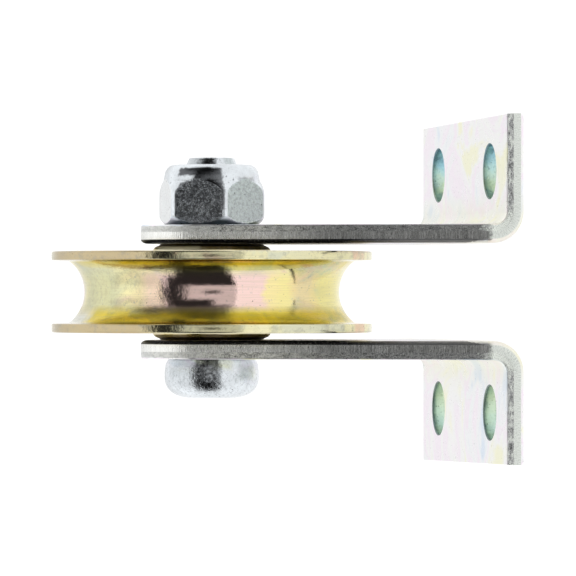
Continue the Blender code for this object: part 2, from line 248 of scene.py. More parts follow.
def edge_fracture():
    """The torn part of a sheared edge: fine dark and light grains, smeared pale at the fold."""
    m = Mat("sheared_edge_fracture")
    uv = m.coord("UV")
    grain = m.noise(m.scaled(uv, (3.6, 3.6, 1.0)), 1.0, 4.0, 0.8)
    big = m.noise(m.scaled(uv, (0.7, 1.3, 1.0), (7, 2, 0)), 1.0, 3.0, 0.6)
    v = m.math("ADD", m.math("MULTIPLY", grain, 0.6), m.math("MULTIPLY", big, 0.4))
    col = m.ramp(v, [(0.38, (0.08, 0.08, 0.08)), (0.46, (0.43, 0.44, 0.44)), (0.53, (0.78, 0.79, 0.78)),
                     (0.64, (0.95, 0.96, 0.94))])
    s = m.node("ShaderNodeSeparateXYZ")
    m.put(m.coord(), s.inputs[0])
    ax = m.math("ABSOLUTE", s.outputs[0])
    # painted highlight at the arm's round end, painted shade down the arm
    top = m.remap(s.outputs[2], 0.0535, 0.0580, 0.0, 0.56)
    col = m.mix(top, col, (0.92, 0.94, 0.94))
    arm = m.math("MULTIPLY", m.remap(s.outputs[2], 0.0068, 0.0080, 0.0, 1.0), m.remap(s.outputs[2], 0.0325, 0.0465, 0.64, 0.04))
    col = m.mix(arm, col, (0.07, 0.07, 0.07))
    col = m.mix(m.math("MULTIPLY", arm, m.remap(grain, 0.53, 0.64, 0.0, 0.8)), col, (0.82, 0.83, 0.82))
    # smeared pale round the fold, and in patches along the foot
    wob = m.math("MULTIPLY", m.math("SUBTRACT", big, 0.5), 0.010)
    fold = m.math("MULTIPLY", m.remap(m.math("ADD", ax, wob), 0.0140, 0.0152, 1.0, 0.0),
                  m.remap(m.math("ADD", s.outputs[2], wob), 0.0068, 0.0080, 1.0, 0.0))
    foot = m.remap(s.outputs[2], 0.0045, 0.0058, 1.0, 0.0)
    patch = m.math("MULTIPLY", foot, m.remap(big, 0.50, 0.58, 0.0, 0.8))
    pale = m.mix(m.remap(grain, 0.50, 0.62, 0.0, 0.6), (0.80, 0.84, 0.78), (0.34, 0.36, 0.34))
    col = m.mix(m.math("MAXIMUM", fold, patch), col, pale)
    smooth = m.math("MAXIMUM", m.math("MAXIMUM", fold, patch), m.math("MULTIPLY", top, 0.9))
    keep = m.math("SUBTRACT", 1.0, m.math("MULTIPLY", smooth, 0.85))
    n = m.bump(m.math("MULTIPLY", grain, keep), 0.8, 0.00028)
    rough = m.remap(grain, 0.35, 0.65, 0.55, 0.34)
    rough = m.math("MULTIPLY", rough, m.math("SUBTRACT", 1.0, m.math("MULTIPLY", smooth, 0.5)))
    return m.surface(col, rough, 0.85, n)


def edge_roll():
    """The rolled-over corner on the wheel's side, painted near-black as painted shade and reflection."""
    m = Mat("sheared_edge_roll_painted_dark")
    uv = m.coord("UV")
    v = m.noise(m.scaled(uv, (2.2, 2.6, 1.0), (3, 5, 0)), 1.0, 3.0, 0.6)
    col = m.ramp(v, [(0.36, (0.018, 0.018, 0.024)), (0.55, (0.045, 0.045, 0.055)), (0.72, (0.20, 0.20, 0.21))])
    # the painted dark turns grey lower down the arm
    s = m.node("ShaderNodeSeparateXYZ")
    m.put(m.coord(), s.inputs[0])
    col = m.mix(m.remap(s.outputs[2], 0.021, 0.031, 0.9, 0.0), col, (0.34, 0.34, 0.34))
    # the painted dark gives way to the plate's own face as it nears the fold
    u = m.node("ShaderNodeSeparateXYZ")
    m.put(uv, u.inputs[0])
    far = m.math("MULTIPLY_ADD", s.outputs[2], 1000.0, m.math("MULTIPLY_ADD", u.outputs[1], 4.5, -10.6))
    far = m.math("ADD", far, m.math("MULTIPLY", m.math("SUBTRACT", v, 0.5), 2.4))
    pale = m.remap(far, -0.5, 0.5, 1.0, 0.0)
    col = m.mix(pale, col, (0.95, 0.96, 0.96))
    rough = m.math("SUBTRACT", 0.42, m.math("MULTIPLY", pale, 0.10))
    return m.surface(col, rough, 1.0, m.bump(v, 0.4, 0.00010))


def hole_wall():
    """Teal to blue at the hole's outer end, green and straw towards the fold."""
    m = Mat("hole_wall_film")
    co = m.coord()
    s = m.node("ShaderNodeSeparateXYZ")
    m.put(co, s.inputs[0])
    ax = m.math("MULTIPLY", m.math("ABSOLUTE", s.outputs[0]), 1000.0)
    wob = m.noise(co, 420.0, 3.0, 0.6)
    v = m.math("ADD", m.remap(ax, 17.4, 27.4, 0.0, 1.0), m.math("MULTIPLY", m.math("SUBTRACT", wob, 0.5), 0.45))
    col = m.ramp(v, [(0.04, (0.34, 0.46, 0.38)), (0.20, (0.76, 0.94, 0.62)), (0.42, (0.80, 1.0, 0.84)),
                     (0.60, (0.70, 1.0, 1.0)), (0.78, (0.50, 0.86, 1.0)), (0.95, (0.18, 0.38, 0.48))])
    col = m.mix(m.math("MULTIPLY", m.math("LESS_THAN", s.outputs[0], 0.0), 0.55), col, (0.86, 1.0, 0.72))
    # painted shade: darker towards both faces of the plate, and more so near the upper face in the head side's holes
    thick = m.math("MULTIPLY", s.outputs[2], 1000.0)
    rim = m.math("MAXIMUM", m.remap(thick, 0.2, 1.3, 0.8, 0.0), m.remap(thick, 2.6, 3.4, 0.0, 0.55))
    upper = m.math("MULTIPLY", m.math("LESS_THAN", s.outputs[0], 0.0), m.remap(m.math("ADD", thick, wob), 3.10, 3.75, 0.0, 0.80))
    rim = m.math("MAXIMUM", rim, upper)
    col = m.mix(rim, col, (0.07, 0.13, 0.14))
    spk = m.noise(co, 2600.0, 2.0)
    col = m.mix(m.remap(spk, 0.6, 0.72, 0.0, 0.6), col, (0.05, 0.07, 0.06))
    return m.surface(col, 0.24, 0.55, m.bump(spk, 0.3, 0.00012))


def bright_zinc(name, peel, scratch, base=(0.82, 0.865, 0.90), r0=0.10, r1=0.20, flats=False, head_reflections_and_mottle=False, seat=False):
    m = Mat(name)
    co = m.coord()
    cloud = m.noise(co, 330.0, 3.0)
    col = m.mix(m.remap(cloud, 0.35, 0.7, 0.0, 0.8), base, tuple(c * 0.80 for c in base))
    if seat:
        # painted shade round the foot of the nut, where it sits on the arm
        sx, sy, sz, sr = m.polar()
        near = m.math("ADD", sx, m.math("MULTIPLY", m.math("SUBTRACT", cloud, 0.5), 0.0012))
        col = m.mix(m.remap(near, 0.0132, 0.0141, 0.93, 0.0), col, (0.11, 0.135, 0.148))
        # painted reflection: dark on the front of the collar, wider at its top and over the flat, with a fainter
        # painted shade on one shoulder
        spots = m.noise(m.scaled(co, (1.0, 1.0, 1.0)), 620.0, 4.0, 0.7, 1.0)
        for deg, lo, hi, bands, much in ((27, 0.868, 0.895, (0.0215, 0.0219, 0.0229, 0.0232), 0.90),
                                         (15.5, 0.945, 0.962, (0.0150, 0.0155, 0.0216, 0.0221), 0.80),
                                         (25, 0.898, 0.915, (0.0150, 0.0155, 0.0201, 0.0206), 0.85),
                                         (-36, 0.960, 0.985, (0.0203, 0.0208, 0.0212, 0.0216), 0.42)):
            a = math.radians(deg)
            look = m.math("ADD", m.math("MULTIPLY", m.math("DIVIDE", sy, sr), -math.cos(a)),
                          m.math("MULTIPLY", m.math("DIVIDE", sz, sr), math.sin(a)))
            look = m.math("ADD", look, m.math("MULTIPLY", m.math("SUBTRACT", spots, 0.5), 0.06))
            sxx = m.math("ADD", sx, m.math("MULTIPLY", m.math("SUBTRACT", spots, 0.5), 0.0012))
            painted_dark_reflection = m.math("MULTIPLY", m.remap(look, lo, hi, 0.0, much),
                           m.math("MULTIPLY", m.remap(sxx, bands[0], bands[1], 0.0, 1.0),
                                  m.remap(sxx, bands[2], bands[3], 1.0, 0.0)))
            col = m.mix(painted_dark_reflection, col, (0.075, 0.078, 0.085))
    if flats:
        # painted reflection: the flat that looks towards the feet is painted greyer than the rest
        x, y, z, r = m.polar()
        a = math.radians(-33)
        look = m.math("ADD", m.math("MULTIPLY", m.math("DIVIDE", y, r), -math.cos(a)),
                      m.math("MULTIPLY", m.math("DIVIDE", z, r), math.sin(a)))
        col = m.mix(m.math("MULTIPLY", m.math("GREATER_THAN", look, 0.85), 0.9), col, (0.60, 0.675, 0.675))
        # painted reflection: the flat nearest the camera is painted darker
        a = math.radians(27)
        front = m.math("ADD", m.math("MULTIPLY", m.math("DIVIDE", y, r), -math.cos(a)),
                       m.math("MULTIPLY", m.math("DIVIDE", z, r), math.sin(a)))
        col = m.mix(m.math("MULTIPLY", m.math("GREATER_THAN", front, 0.85), 0.30), col, (0.32, 0.34, 0.37))
        mott = m.noise(m.scaled(co, (1.0, 1.0, 1.0)), 1900.0, 4.0, 0.75, 0.6)
        # painted highlight: the flat at 87 degrees is painted near white and kept free of the mottle
        b = math.radians(87)
        away = m.math("ADD", m.math("MULTIPLY", m.math("DIVIDE", y, r), -math.cos(b)),
                      m.math("MULTIPLY", m.math("DIVIDE", z, r), math.sin(b)))
        some = m.math("SUBTRACT", 1.0, m.math("MULTIPLY", m.math("GREATER_THAN", away, 0.85), 0.9))
        col = m.mix(m.math("MULTIPLY", m.math("GREATER_THAN", away, 0.85), 0.8), col, (0.98, 1.0, 1.0))
        col = m.mix(m.math("MULTIPLY", m.remap(mott, 0.36, 0.56, 0.75, 0.0), some), col, (0.30, 0.32, 0.34))
        # painted reflection: dark mottling on the flat nearest the camera
        deep = m.noise(m.scaled(co, (1.0, 1.0, 1.0), (3.0, 1.0, 2.0)), 1250.0, 4.0, 0.8, 1.2)
        col = m.mix(m.math("MULTIPLY", m.remap(deep, 0.40, 0.58, 0.88, 0.0), m.math("GREATER_THAN", front, 0.85)), col,
                    (0.06, 0.064, 0.07))
    if head_reflections_and_mottle:
        # painted reflection: a mottled dark patch on the head's front
        x, y, z, r = m.polar()
        a = math.radians(17)
        look = m.math("ADD", m.math("MULTIPLY", m.math("DIVIDE", y, r), -math.cos(a)),
                      m.math("MULTIPLY", m.math("DIVIDE", z, r), math.sin(a)))
        spots = m.noise(co, 1500.0, 4.0, 0.8)
        painted_dark_reflection = m.math("ADD", look, m.math("MULTIPLY", m.math("SUBTRACT", spots, 0.5), 0.12))
        painted_dark_reflection = m.math("MULTIPLY", m.remap(painted_dark_reflection, 0.948, 0.972, 0.0, 1.0), m.remap(x, -0.0190, -0.0180, 0.0, 1.0))
        painted_dark_reflection = m.math("MULTIPLY", painted_dark_reflection, m.remap(spots, 0.40, 0.62, 0.95, 0.25))
        col = m.mix(painted_dark_reflection, col, (0.045, 0.045, 0.05))
        # painted reflection: two soft grey patches on the head's sides
        for deg, lo, hi, x0, x1, tint in ((52, 0.90, 0.97, -0.0172, -0.0150, (0.46, 0.495, 0.51)),
                                          (-36, 0.95, 0.985, -0.0166, -0.0156, (0.50, 0.56, 0.56))):
            a = math.radians(deg)
            look = m.math("ADD", m.math("MULTIPLY", m.math("DIVIDE", y, r), -math.cos(a)),
                          m.math("MULTIPLY", m.math("DIVIDE", z, r), math.sin(a)))
            look = m.math("ADD", look, m.math("MULTIPLY", m.math("SUBTRACT", cloud, 0.5), 0.08))
            soft = m.math("MULTIPLY", m.remap(look, lo, hi, 0.0, 0.62), m.remap(x, x0, x1, 0.0, 1.0))
            col = m.mix(soft, col, tint)
        coarse = m.noise(co, 1700.0, 4.0, 0.8)
        col = m.mix(m.remap(coarse, 0.50, 0.66, 0.0, 0.55), col, (0.34, 0.37, 0.385))
    grit = m.noise(co, 3800.0, 2.0, 0.7)
    col = m.mix(m.remap(grit, 0.60, 0.72, 0.0, 0.45), col, (0.30, 0.31, 0.33))
    pin = m.noise(co, 1500.0, 1.0, 0.3)
    col = m.mix(m.remap(pin, 0.76, 0.80, 0.0, 0.8), col, (0.06, 0.06, 0.07))
    rough = m.remap(m.noise(co, 700.0, 3.0, 0.6), 0.3, 0.7, r0, r1)
    n = m.bump(m.noise(co, 760.0, 4.0, 0.75), peel, 0.00019)
    if scratch:
        lines = m.noise(m.scaled(co, (1900.0, 2900.0, 2400.0)), 1.0, 4.0, 0.72, 2.5)
        n = m.bump(lines, scratch, 0.00005, n)
    return m.surface(col, rough, 1.0, n)


def yellow_wheel():
    m = Mat("yellow_passivated_wheel")
    x, y, z, r = m.polar()
    co = m.coord()
    ax = m.math("MULTIPLY", m.math("ABSOLUTE", x), 1000.0)          # mm from the mid-plane
    rr = m.math("MULTIPLY", r, 1000.0)
    patchy = m.noise(m.scaled(co, (1.6, 1.0, 1.0)), 95.0, 3.0, 0.6, 0.8)
    # groove: cream and grey-green, with pink fields
    base = m.ramp(patchy, [(0.34, (0.70, 0.70, 0.46)), (0.46, (0.84, 0.80, 0.46)), (0.56, (0.92, 0.84, 0.46)),
                           (0.68, (0.88, 0.68, 0.50))])
    cosr = m.math("DIVIDE", y, r)
    sinr = m.math("DIVIDE", z, r)

    def field(deg, lo, hi):
        a = math.radians(deg)
        d = m.math("ADD", m.math("MULTIPLY", cosr, -math.cos(a)), m.math("MULTIPLY", sinr, math.sin(a)))
        d = m.math("ADD", d, m.math("MULTIPLY", m.math("SUBTRACT", patchy, 0.5), 0.05))
        return m.remap(d, lo, hi, 0.0, 1.0)

    waist = m.remap(m.math("ADD", ax, m.math("MULTIPLY", patchy, 1.0)), 3.0, 4.6, 1.0, 0.0)
    pink = (1.0, 0.70, 0.69)
    for deg, lo, hi in ((12.0, 0.845, 0.885), (118, 0.89, 0.93), (-95, 0.93, 0.97), (-150, 0.92, 0.96)):
        base = m.mix(m.math("MULTIPLY", m.math("MULTIPLY", field(deg, lo, hi), waist), 0.88), base, pink)
    for deg, lo, hi in ((-21.5, 0.986, 0.9965), (75, 0.965, 0.985), (-122, 0.965, 0.985), (165, 0.94, 0.97)):
        base = m.mix(m.math("MULTIPLY", m.math("MULTIPLY", field(deg, lo, hi), waist), 0.85), base, (1.0, 0.88, 0.36))
    base = m.mix(m.math("MULTIPLY", m.math("MULTIPLY", field(-35, 0.984, 0.992), waist), 0.55), base, (0.95, 0.72, 0.40))
    base = m.mix(m.math("MULTIPLY", m.math("MULTIPLY", field(-62, 0.90, 0.96), waist), 0.75), base, (0.92, 0.83, 0.30))
    base = m.mix(m.math("MULTIPLY", m.math("MULTIPLY", field(39, 0.984, 0.995), waist), 0.55), base, (0.78, 0.62, 0.38))
    base = m.mix(m.math("MULTIPLY", field(71, 0.950, 0.985), 0.75), base, (0.58, 0.61, 0.40))
    grain = m.math("MULTIPLY", m.remap(m.noise(co, 900.0, 4.0, 0.75), 0.48, 0.60, 0.0, 0.42), field(62, 0.90, 0.96))
    base = m.mix(grain, base, (0.50, 0.46, 0.30))
    # gold to olive on the flanks of the groove: the film's own gold, darkened under each rim by painted shade
    lean = m.math("ABSOLUTE", m.math("SUBTRACT", m.math("MULTIPLY", x, 1000.0), 0.9))
    flank = m.remap(m.math("ADD", lean, m.math("MULTIPLY", m.math("SUBTRACT", patchy, 0.5), 1.6)), 3.4, 4.9, 0.0, 1.0)
    gold = m.ramp(patchy, [(0.38, (0.54, 0.46, 0.05)), (0.5, (0.80, 0.62, 0.04)), (0.62, (0.66, 0.54, 0.04))])
    base = m.mix(flank, base, gold)
    pale = m.math("MULTIPLY", field(88, 0.955, 0.985), m.remap(x, -0.0024, -0.0046, 0.0, 0.85))
    base = m.mix(pale, base, (0.86, 0.89, 0.86))
    # rims and side faces: paler, with pink and grey fields
    rim_tint = m.ramp(m.noise(m.scaled(co, (0.5, 1.0, 1.0)), 70.0, 3.0, 0.6, 1.0),
                      [(0.36, (0.74, 0.76, 0.60)), (0.45, (0.86, 0.83, 0.54)), (0.54, (0.93, 0.89, 0.60)),
                       (0.64, (0.90, 0.66, 0.50))])
    top = m.remap(rr, 26.4, 28.4, 0.0, 1.0)
    side = m.remap(ax, 7.1, 7.5, 0.0, 1.0)
    rim_tint = m.mix(m.math("MULTIPLY", side, 0.62), rim_tint, (0.87, 0.82, 0.57))
    base = m.mix(m.math("MAXIMUM", m.math("MULTIPLY", top, 0.92), side), base, rim_tint)
    brown = m.math("MULTIPLY", m.math("MULTIPLY", top, field(62, 0.80, 0.92)), 0.95)
    base = m.mix(brown, base, (0.55, 0.44, 0.265))
    # the rims' grey scuffs
    scuff = m.noise(m.scaled(co, (1.4, 1.0, 1.0)), 420.0, 4.0, 0.7)
    edge = m.remap(rr, 29.2, 29.7, 0.0, 1.0)
    worn = m.math("ADD", 0.36, m.math("MULTIPLY", field(29.5, 0.965, 0.99), 0.1))
    worn = m.math("MULTIPLY", worn, edge)
    base = m.mix(m.math("MULTIPLY", m.remap(scuff, 0.50, 0.64, 0.0, 1.0), worn), base, (0.30, 0.30, 0.27))
    # fine turned lines and grey specks
    lines = m.noise(m.turned_vector(x, y, z, r, 5200.0, 2600.0, 2.2), 1.0, 3.0, 0.65)
    base = m.mix(m.remap(lines, 0.3, 0.75, 0.0, 0.32), base, (0.50, 0.45, 0.28))
    speck = m.noise(co, 1500.0, 3.0, 0.65)
    base = m.mix(m.remap(speck, 0.61, 0.72, 0.0, 0.55), base, (0.40, 0.42, 0.38))
    speck2 = m.noise(co, 2600.0, 1.0, 0.4)
    base = m.mix(m.remap(speck2, 0.74, 0.79, 0.0, 0.8), base, (0.12, 0.10, 0.05))
    rough = m.remap(m.noise(co, 260.0, 3.0, 0.6), 0.3, 0.7, 0.035, 0.065)
    amount = m.math("ADD", m.remap(sinr, -0.02, 0.10, 0.15, 0.46), m.remap(sinr, 0.30, 0.46, 0.0, 0.42))
    amount = m.math("MULTIPLY", amount, m.remap(sinr, 0.54, 0.62, 1.0, 0.6))
    dent = m.math("MULTIPLY", m.noise(co, 520.0, 5.0, 0.78), amount)
    n = m.bump(dent, 0.42, 0.00020)
    n = m.bump(lines, 0.12, 0.00003, n)
    # the film is duller on the head side of the groove
    dull = m.math("ADD", x, m.math("MULTIPLY", m.math("SUBTRACT", patchy, 0.5), 0.0014))
    dull = m.math("MULTIPLY", m.remap(dull, -0.0023, -0.0029, 0.0, 1.0), m.remap(x, -0.0052, -0.0058, 1.0, 0.0))
    rough = m.math("ADD", rough, m.math("ADD", m.math("MULTIPLY", dull, 0.15), m.math("MULTIPLY", edge, 0.07)))
    m.surface(base, rough, 1.0, n)
    m.put(m.math("SUBTRACT", 1.0, m.math("MULTIPLY", dull, 0.16)), m.p.inputs["Metallic"])
    return m.m


def yellow_spacer():
    m = Mat("yellow_passivated_spacer")
    x, y, z, r = m.polar()
    co = m.coord()
    patchy = m.noise(co, 240.0, 3.0, 0.6)
    base = m.ramp(patchy, [(0.36, (0.55, 0.45, 0.18)), (0.48, (0.84, 0.73, 0.40)), (0.6, (0.90, 0.80, 0.56))])
    lines = m.noise(m.turned_vector(x, y, z, r, 6200.0, 5200.0, 3.0), 1.0, 3.0, 0.65)
    base = m.mix(m.remap(lines, 0.35, 0.7, 0.0, 0.35), base, (0.26, 0.20, 0.07))
    ax = m.math("MULTIPLY", m.math("ABSOLUTE", x), 1000.0)
    # painted shade: the neck beyond 8.36 mm from the middle is darkened nearly to black
    base = m.mix(m.remap(ax, 8.36, 8.6, 0.0, 0.85), base, (0.06, 0.045, 0.025))
    # painted light: a pale stretch of the nut-side flange on its lit side, made less metallic
    a = math.radians(50)
    look = m.math("ADD", m.math("MULTIPLY", m.math("DIVIDE", y, r), -math.cos(a)),
                  m.math("MULTIPLY", m.math("DIVIDE", z, r), math.sin(a)))
    pale = m.math("MULTIPLY", m.remap(look, 0.875, 0.90, 0.0, 1.0),
                  m.math("MULTIPLY", m.remap(x, 0.00840, 0.00862, 1.0, 0.0), m.math("GREATER_THAN", x, 0.0)))
    base = m.mix(m.math("MULTIPLY", pale, 0.85), base, (1.0, 0.93, 0.66))
    n = m.bump(lines, 0.4, 0.00005)
    m.surface(base, m.remap(patchy, 0.3, 0.7, 0.26, 0.4), 1.0, n)
    m.put(m.math("SUBTRACT", 1.0, m.math("MULTIPLY", pale, 0.75)), m.p.inputs["Metallic"])
    return m.m


def turned_steel(name, colour, rough, dark=0.35):
    m = Mat(name)
    x, y, z, r = m.polar()
    lines = m.noise(m.turned_vector(x, y, z, r, 4800.0, 4300.0, 1.6), 1.0, 3.0, 0.6)
    cloud = m.noise(m.coord(), 300.0, 3.0)
    col = m.mix(m.remap(lines, 0.3, 0.75, 0.0, dark), colour, tuple(c * 0.55 for c in colour))
    col = m.mix(m.remap(cloud, 0.35, 0.7, 0.0, 0.25), col, tuple(c * 0.7 for c in colour))
    n = m.bump(lines, 0.2, 0.00003)
    return m.surface(col, m.remap(cloud, 0.3, 0.7, rough * 0.8, rough * 1.3), 1.0, n)


def nylon():
    m = Mat("insert_nylon")
    co = m.coord()
    col = m.mix(m.noise(co, 500.0, 3.0), (0.82, 0.84, 0.84), (0.70, 0.73, 0.75))
    m.p.inputs["Subsurface Weight"].default_value = 0.25
    m.p.inputs["Subsurface Scale"].default_value = 0.001
    return m.surface(col, 0.42, 0.0, m.bump(m.noise(co, 1400.0, 2.0), 0.15, 0.0001))


def polyamide():
    m = Mat("cage_polyamide")
    co = m.coord()
    col = m.mix(m.noise(co, 700.0, 3.0), (0.09, 0.075, 0.05), (0.15, 0.12, 0.08))
    return m.surface(col, 0.5, 0.0, m.bump(m.noise(co, 1900.0, 2.0), 0.25, 0.0001))


def phosphate():
    m = Mat("ring_phosphate")
    co = m.coord()
    col = m.mix(m.noise(co, 1300.0, 4.0, 0.7), (0.045, 0.045, 0.05), (0.13, 0.13, 0.135))
    return m.surface(col, m.remap(m.noise(co, 500.0), 0.3, 0.7, 0.38, 0.55), 0.7,
                     m.bump(m.noise(co, 2200.0, 3.0), 0.3, 0.0001))


MAT = {
    "plate": plate_face(),
    "burnish": edge_sheared("sheared_edge_burnished", (0.86, 0.87, 0.83), (1.0, 1.0, 0.98), 0.0, 0.54),
    "burnish_foot": edge_sheared("sheared_edge_foot", (0.84, 0.90, 0.83), (0.97, 1.0, 0.95), 11.0, 0.0, 0.25),
    "fracture": edge_fracture(),
    "roll": edge_roll(),
    "hole": hole_wall(),
    "nut": bright_zinc("bright_zinc_nut", 0.10, 0.5, seat=True),
    "nut_flat": bright_zinc("zinc_nut_flats", 0.10, 0.85, (0.82, 0.865, 0.90), 0.11, 0.17, True),
    "bolt": bright_zinc("bright_zinc_bolt", 0.80, 0.0, (0.82, 0.865, 0.90), 0.04, 0.07, False, True),
    "wheel": yellow_wheel(),
    "spacer": yellow_spacer(),
    "bearing": turned_steel("bearing_steel", (0.62, 0.63, 0.65), 0.20),
    "shield": turned_steel("shield_steel", (0.60, 0.61, 0.63), 0.30),
    "ball": turned_steel("ball_steel", (0.72, 0.72, 0.74), 0.06, 0.05),
    "nylon": nylon(),
    "cage": polyamide(),
    "ring": phosphate(),
}

# ------------------------------------------------------------------ mesh helpers
pieces_coll = bpy.data.collections.new("visual_pieces")
scene.collection.children.link(pieces_coll)


def finish_mesh(name, verts, faces, mats, body, replaces, angle=35, face_mats=None, uvs=None):
    mesh = bpy.data.meshes.new(name)
    mesh.from_pydata(verts, [], faces)
    for m in mats:
        mesh.materials.append(m)
    if face_mats:
        mesh.polygons.foreach_set("material_index", face_mats)
    if uvs:
        layer = mesh.uv_layers.new(name="UVMap")
        flat = []
        for f in uvs:
            for u, v in f:
                flat += [u, v]
        layer.data.foreach_set("uv", flat)
    mesh.validate()
    bm = bmesh.new()
    bm.from_mesh(mesh)
    bmesh.ops.recalc_face_normals(bm, faces=bm.faces)
    bm.to_mesh(mesh)
    bm.free()
    mesh.shade_smooth()
    mesh.set_sharp_from_angle(angle=math.radians(angle))
    obj = bpy.data.objects.new(name, mesh)
    pieces_coll.objects.link(obj)
    if replaces:
        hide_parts(*replaces)
    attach(obj, body)
    return obj


def place(r, x, a):
    """A point at radius r, x along the bolt, angle a from -Y towards +Z (mm, radians)."""
    return (x * MM, -r * math.cos(a) * MM, (AXIS_Z + r * math.sin(a)) * MM)


def revolve(name, profile, steps, mat, body, replaces, radius=None, closed=True, angle=35):
    """Turns a profile of (r, x) about the bolt; radius(r, x, a) may change r by angle."""
    verts, faces = [], []
    rings = []
    for r, x in profile:
        if r < 1e-6:
            rings.append([len(verts)])
            verts.append(place(0, x, 0))
            continue
        ring = []
        for k in range(steps):
            a = math.tau * k / steps
            rr = radius(r, x, a) if radius else r
            ring.append(len(verts))
            verts.append(place(rr, x, a))
        rings.append(ring)
    pairs = list(zip(rings, rings[1:]))
    if closed:
        pairs.append((rings[-1], rings[0]))
    for p, q in pairs:
        for k in range(steps):
            j = (k + 1) % steps
            if len(p) == 1 and len(q) == 1:
                break
            if len(p) == 1:
                faces.append((p[0], q[j], q[k]))
            elif len(q) == 1:
                faces.append((p[k], p[j], q[0]))
            else:
                faces.append((p[k], p[j], q[j], q[k]))
    return finish_mesh(name, verts, faces, [mat], body, replaces, angle)


def rounded(points, radius, n=4):
    """Rounds a closed profile's corners. radius is one number, or one for each point."""
    out = []
    m = len(points)
    for i, p in enumerate(points):
        rad = radius[i] if isinstance(radius, (list, tuple)) else radius
        a, b = Vector(points[i - 1]), Vector(points[(i + 1) % m])
        p = Vector(p)
        d0, d1 = (a - p), (b - p)
        l0, l1 = d0.length, d1.length
        if rad <= 0 or l0 < 1e-6 or l1 < 1e-6:
            out.append((p.x, p.y))
            continue
        d0.normalize()
        d1.normalize()
        half = max(0.05, d0.angle(d1) / 2)
        if half > 1.52:
            out.append((p.x, p.y))
            continue
        t = min(rad / math.tan(half), 0.48 * l0, 0.48 * l1)
        rad = t * math.tan(half)
        c = p + (d0 + d1).normalized() * (rad / math.sin(half))
        s, e = p + d0 * t - c, p + d1 * t - c
        sweep = s.angle_signed(e)
        for k in range(n + 1):
            v = s.copy()
            v.rotate(Matrix.Rotation(-sweep * k / n, 2))
            out.append((c.x + v.x, c.y + v.y))
    return out


def arc(cr, cx, rad, a0, a1, n):
    return [(cr + rad * math.cos(math.radians(a0 + (a1 - a0) * i / n)),
             cx + rad * math.sin(math.radians(a0 + (a1 - a0) * i / n))) for i in range(n + 1)]


# ------------------------------------------------------------------ rope wheel
half = math.degrees(math.asin(5.2 / 7.3))
corner = [(30.0, 7.6), (30.0, 5.92), (26.75, 5.73)]
low = [(26.75, -5.73), (30.0, -5.92), (30.0, -7.6)]
inside = [(14.5, -7.6), (14.5, -5.15), (16.0, -5.15), (16.0, 4.8), (16.9, 4.8), (16.9, 6.5),
          (16.0, 6.5), (16.0, 7.6)]
pts = corner + arc(31.2, 0.0, 7.3, 180 - half, 180 + half, 26) + low + inside
rad = [0.35, 0.22, 0.8] + [0.0] * 27 + [0.8, 0.22, 0.35] + [0.4, 0.1, 0.1, 0.05, 0.05, 0.05, 0.1, 0.4]
revolve("rope_wheel_turned", rounded(pts, rad, 4), 240, MAT["wheel"], "wheel", ["rope_wheel"])

# ------------------------------------------------------------------ bearing
q = math.degrees(math.acos(1.8 / 3.2))
pts = [(15.7, 4.85), (15.7, -4.85), (13.9, -4.85), (13.9, -3.95), (12.8, -3.95)] + \
    arc(11.0, 0, 3.2, -q, q, 14) + [(12.8, 3.95), (13.9, 3.95), (13.9, 4.85)]
revolve("bearing_ring_outer_turned", rounded(pts, [0.3, 0.3, 0.12, 0.05, 0.1] + [0] * 15 + [0.1, 0.05, 0.12]), 128,
        MAT["bearing"], "wheel", ["bearing_outer_ring"])
pts = [(9.2, 4.85)] + arc(11.0, 0, 3.2, 180 - q, 180 + q, 14) + [(9.2, -4.85), (6.2, -4.85), (6.2, 4.85)]
revolve("bearing_ring_inner_turned", rounded(pts, [0.2] + [0] * 15 + [0.2, 0.25, 0.25]), 96,
        MAT["bearing"], "frame", ["bearing_inner_ring"])
for side, s in (("nut_side", 1), ("head_side", -1)):
    # a pressed shield: flat, with a stepped rim and a shallow ring pressed in its middle
    pts = [(13.65, 4.25), (13.2, 4.25), (12.9, 4.3), (12.5, 4.55), (10.6, 4.55), (10.2, 4.4), (9.6, 4.4),
           (9.6, 4.2), (10.3, 4.2), (10.7, 4.33), (12.4, 4.33), (12.8, 4.1), (13.65, 4.1)]
    pts = [(r, x * s) for r, x in pts]
    revolve("shield_pressed_" + side, rounded(pts, 0.08, 2), 128, MAT["shield"], "wheel",
            ["bearing_shield_" + side])
for n in range(1, 8):
    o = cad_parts["bearing_ball_%d" % n]
    for i in range(max(1, len(o.material_slots))):
        if o.material_slots:
            o.material_slots[i].material = MAT["ball"]
        else:
            o.data.materials.append(MAT["ball"])
for node, mat in (("bearing_cage", "cage"), ("retaining_ring", "ring")):
    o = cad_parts[node]
    if o.material_slots:
        for sl in o.material_slots:
            sl.material = MAT[mat]
    else:
        o.data.materials.append(MAT[mat])

# ------------------------------------------------------------------ spacer rings
for side, s in (("nut_side", 1), ("head_side", -1)):
    pts = [(9.55, 8.97), (9.8, 8.72), (10.62, 8.36), (10.98, 7.95), (11.02, 7.3), (8.8, 7.05), (8.8, 4.95),
           (6.1, 4.95), (6.1, 8.97)]
    pts = [(r, x * s) for r, x in pts]
    revolve("spacer_turned_" + side, rounded(pts, [0.1, 0.2, 0.2, 0.3, 0.1, 0.2, 0.1, 0.15, 0.1]), 128, MAT["spacer"],
            "frame", ["spacer_ring_" + side])

# ------------------------------------------------------------------ bolt
PITCH = 1.75


def socket_r(r, x, a):
    """Inside the head's socket the section is a hexagon 8 mm across flats."""
    k = (a - math.radians(13)) % (math.pi / 3) - math.pi / 6
    return 4.0 / math.cos(k)


